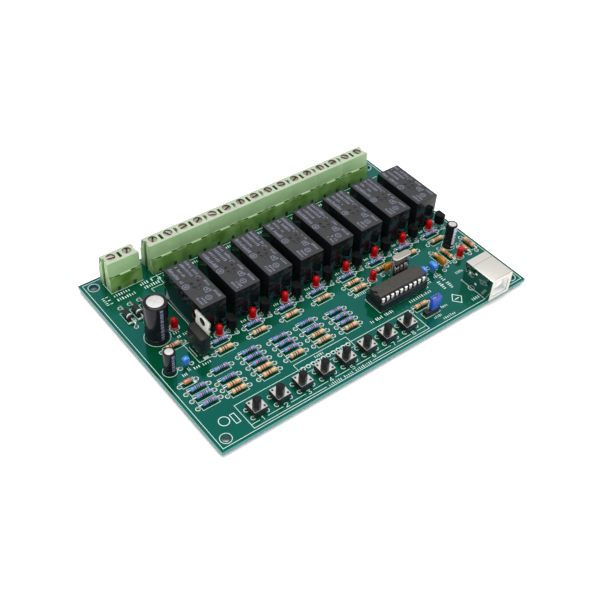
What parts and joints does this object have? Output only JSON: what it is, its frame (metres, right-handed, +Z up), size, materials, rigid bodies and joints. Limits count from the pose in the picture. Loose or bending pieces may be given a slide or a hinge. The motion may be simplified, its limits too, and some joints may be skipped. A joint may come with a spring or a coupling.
{
  "type": "relay module board",
  "caption": "Populated relay board with a row of relays, screw terminals along one edge, push buttons along the other, a socketed controller and a USB type B socket.",
  "frame": {"origin": "centre of the four fixing holes, on the underside of the circuit board", "axes": "+X along the board to the USB end, +Y from the button edge to the terminal edge, +Z up out of the component side"},
  "size_m": [0.16, 0.1057, 0.0232],
  "materials": {
    "solder_mask": "satin teal green solder mask",
    "terminal_green": "light grey green moulding",
    "cage_metal": "nickel plated",
    "tinned_metal": "tinned",
    "screw_metal": "nickel plated",
    "relay_case": "gloss black sides, satin charcoal top",
    "button_black": "satin",
    "cover_plate": "bright plated",
    "plunger_black": "satin",
    "jumper_blue": "satin",
    "header_black": "matte",
    "gold": "gold plated",
    "chip_grey": "satin",
    "socket_black": "matte",
    "shell_steel": "bright nickel plated",
    "insert_white": "matte",
    "film_blue": "lacquer with colour bands",
    "film_beige": "lacquer with colour bands",
    "led_red": "diffused red",
    "transistor_black": "satin",
    "regulator_body": "satin body, tinned tab",
    "can_black": "black sleeve, aluminium top",
    "ceramic_blue": "lacquer",
    "ceramic_orange": "lacquer",
    "diode_black": "satin with a silver band",
    "diode_glass": "amber glass",
    "crystal_can": "bright drawn can"
  },
  "bodies": {
    "board": {"circuit_board": "solder_mask", "output_terminal_blocks": "terminal_green", "supply_terminal_block": "terminal_green", "wire_cages": "cage_metal", "terminal_pins": "tinned_metal", "relay_1": "relay_case", "relay_2": "relay_case", "relay_3": "relay_case", "relay_4": "relay_case", "relay_5": "relay_case", "relay_6": "relay_case", "relay_7": "relay_case", "relay_8": "relay_case", "button_bases": "button_black", "button_covers": "cover_plate", "header_base": "header_black", "header_pins": "gold", "controller_chip": "chip_grey", "chip_socket": "socket_black", "usb_shell": "shell_steel", "usb_insert": "insert_white", "metal_film_resistors": "film_blue", "carbon_film_resistors": "film_beige", "indicator_leds": "led_red", "transistors": "transistor_black", "voltage_regulator": "regulator_body", "electrolytic_capacitors": "can_black", "blue_capacitors": "ceramic_blue", "orange_capacitors": "ceramic_orange", "rectifier_diodes": "diode_black", "glass_diodes": "diode_glass", "quartz_crystal": "crystal_can"},
    "button_1": {"button_cap_1": "plunger_black"},
    "button_2": {"button_cap_2": "plunger_black"},
    "button_3": {"button_cap_3": "plunger_black"},
    "button_4": {"button_cap_4": "plunger_black"},
    "button_5": {"button_cap_5": "plunger_black"},
    "button_6": {"button_cap_6": "plunger_black"},
    "button_7": {"button_cap_7": "plunger_black"},
    "button_8": {"button_cap_8": "plunger_black"},
    "output_clamp_screw_1": {"output_screw_1": "screw_metal"},
    "output_clamp_screw_2": {"output_screw_2": "screw_metal"},
    "output_clamp_screw_3": {"output_screw_3": "screw_metal"},
    "output_clamp_screw_4": {"output_screw_4": "screw_metal"},
    "output_clamp_screw_5": {"output_screw_5": "screw_metal"},
    "output_clamp_screw_6": {"output_screw_6": "screw_metal"},
    "output_clamp_screw_7": {"output_screw_7": "screw_metal"},
    "output_clamp_screw_8": {"output_screw_8": "screw_metal"},
    "output_clamp_screw_9": {"output_screw_9": "screw_metal"},
    "output_clamp_screw_10": {"output_screw_10": "screw_metal"},
    "output_clamp_screw_11": {"output_screw_11": "screw_metal"},
    "output_clamp_screw_12": {"output_screw_12": "screw_metal"},
    "output_clamp_screw_13": {"output_screw_13": "screw_metal"},
    "output_clamp_screw_14": {"output_screw_14": "screw_metal"},
    "output_clamp_screw_15": {"output_screw_15": "screw_metal"},
    "output_clamp_screw_16": {"output_screw_16": "screw_metal"},
    "supply_clamp_screw_1": {"supply_screw_1": "screw_metal"},
    "supply_clamp_screw_2": {"supply_screw_2": "screw_metal"},
    "jumper": {"jumper_cap": "jumper_blue", "jumper_clip": "tinned_metal"}
  },
  "joints": [
    {"name": "button_1_press", "type": "slide", "parent": "board", "child": "button_1", "axis": [0, 0, -1], "range_m": [0, 0.00025], "stiffness_N_per_m": 6400},
    {"name": "button_2_press", "type": "slide", "parent": "board", "child": "button_2", "axis": [0, 0, -1], "range_m": [0, 0.00025], "stiffness_N_per_m": 6400},
    {"name": "button_3_press", "type": "slide", "parent": "board", "child": "button_3", "axis": [0, 0, -1], "range_m": [0, 0.00025], "stiffness_N_per_m": 6400},
    {"name": "button_4_press", "type": "slide", "parent": "board", "child": "button_4", "axis": [0, 0, -1], "range_m": [0, 0.00025], "stiffness_N_per_m": 6400},
    {"name": "button_5_press", "type": "slide", "parent": "board", "child": "button_5", "axis": [0, 0, -1], "range_m": [0, 0.00025], "stiffness_N_per_m": 6400},
    {"name": "button_6_press", "type": "slide", "parent": "board", "child": "button_6", "axis": [0, 0, -1], "range_m": [0, 0.00025], "stiffness_N_per_m": 6400},
    {"name": "button_7_press", "type": "slide", "parent": "board", "child": "button_7", "axis": [0, 0, -1], "range_m": [0, 0.00025], "stiffness_N_per_m": 6400},
    {"name": "button_8_press", "type": "slide", "parent": "board", "child": "button_8", "axis": [0, 0, -1], "range_m": [0, 0.00025], "stiffness_N_per_m": 6400},
    {"name": "output_screw_1_turn", "type": "hinge", "parent": "board", "child": "output_clamp_screw_1", "pos_m": [-0.04718, 0.0458, 0.0156], "axis": [0, 0, -1], "range_deg": [0, 1530]},
    {"name": "output_screw_2_turn", "type": "hinge", "parent": "board", "child": "output_clamp_screw_2", "pos_m": [-0.03968, 0.0458, 0.0156], "axis": [0, 0, -1], "range_deg": [0, 1530]},
    {"name": "output_screw_3_turn", "type": "hinge", "parent": "board", "child": "output_clamp_screw_3", "pos_m": [-0.03218, 0.0458, 0.0156], "axis": [0, 0, -1], "range_deg": [0, 1530]},
    {"name": "output_screw_4_turn", "type": "hinge", "parent": "board", "child": "output_clamp_screw_4", "pos_m": [-0.02468, 0.0458, 0.0156], "axis": [0, 0, -1], "range_deg": [0, 1530]},
    {"name": "output_screw_5_turn", "type": "hinge", "parent": "board", "child": "output_clamp_screw_5", "pos_m": [-0.01718, 0.0458, 0.0156], "axis": [0, 0, -1], "range_deg": [0, 1530]},
    {"name": "output_screw_6_turn", "type": "hinge", "parent": "board", "child": "output_clamp_screw_6", "pos_m": [-0.00968, 0.0458, 0.0156], "axis": [0, 0, -1], "range_deg": [0, 1530]},
    {"name": "output_screw_7_turn", "type": "hinge", "parent": "board", "child": "output_clamp_screw_7", "pos_m": [-0.00218, 0.0458, 0.0156], "axis": [0, 0, -1], "range_deg": [0, 1530]},
    {"name": "output_screw_8_turn", "type": "hinge", "parent": "board", "child": "output_clamp_screw_8", "pos_m": [0.00532, 0.0458, 0.0156], "axis": [0, 0, -1], "range_deg": [0, 1530]},
    {"name": "output_screw_9_turn", "type": "hinge", "parent": "board", "child": "output_clamp_screw_9", "pos_m": [0.01282, 0.0458, 0.0156], "axis": [0, 0, -1], "range_deg": [0, 1530]},
    {"name": "output_screw_10_turn", "type": "hinge", "parent": "board", "child": "output_clamp_screw_10", "pos_m": [0.02032, 0.0458, 0.0156], "axis": [0, 0, -1], "range_deg": [0, 1530]},
    {"name": "output_screw_11_turn", "type": "hinge", "parent": "board", "child": "output_clamp_screw_11", "pos_m": [0.02782, 0.0458, 0.0156], "axis": [0, 0, -1], "range_deg": [0, 1530]},
    {"name": "output_screw_12_turn", "type": "hinge", "parent": "board", "child": "output_clamp_screw_12", "pos_m": [0.03532, 0.0458, 0.0156], "axis": [0, 0, -1], "range_deg": [0, 1530]},
    {"name": "output_screw_13_turn", "type": "hinge", "parent": "board", "child": "output_clamp_screw_13", "pos_m": [0.04282, 0.0458, 0.0156], "axis": [0, 0, -1], "range_deg": [0, 1530]},
    {"name": "output_screw_14_turn", "type": "hinge", "parent": "board", "child": "output_clamp_screw_14", "pos_m": [0.05032, 0.0458, 0.0156], "axis": [0, 0, -1], "range_deg": [0, 1530]},
    {"name": "output_screw_15_turn", "type": "hinge", "parent": "board", "child": "output_clamp_screw_15", "pos_m": [0.05782, 0.0458, 0.0156], "axis": [0, 0, -1], "range_deg": [0, 1530]},
    {"name": "output_screw_16_turn", "type": "hinge", "parent": "board", "child": "output_clamp_screw_16", "pos_m": [0.06532, 0.0458, 0.0156], "axis": [0, 0, -1], "range_deg": [0, 1530]},
    {"name": "supply_screw_1_turn", "type": "hinge", "parent": "board", "child": "supply_clamp_screw_1", "pos_m": [-0.0671, 0.0458, 0.0156], "axis": [0, 0, -1], "range_deg": [0, 1530]},
    {"name": "supply_screw_2_turn", "type": "hinge", "parent": "board", "child": "supply_clamp_screw_2", "pos_m": [-0.0596, 0.0458, 0.0156], "axis": [0, 0, -1], "range_deg": [0, 1530]},
    {"name": "jumper_pull", "type": "slide", "parent": "board", "child": "jumper", "axis": [0, 0, 1], "range_m": [0, 0.008]}
  ]
}
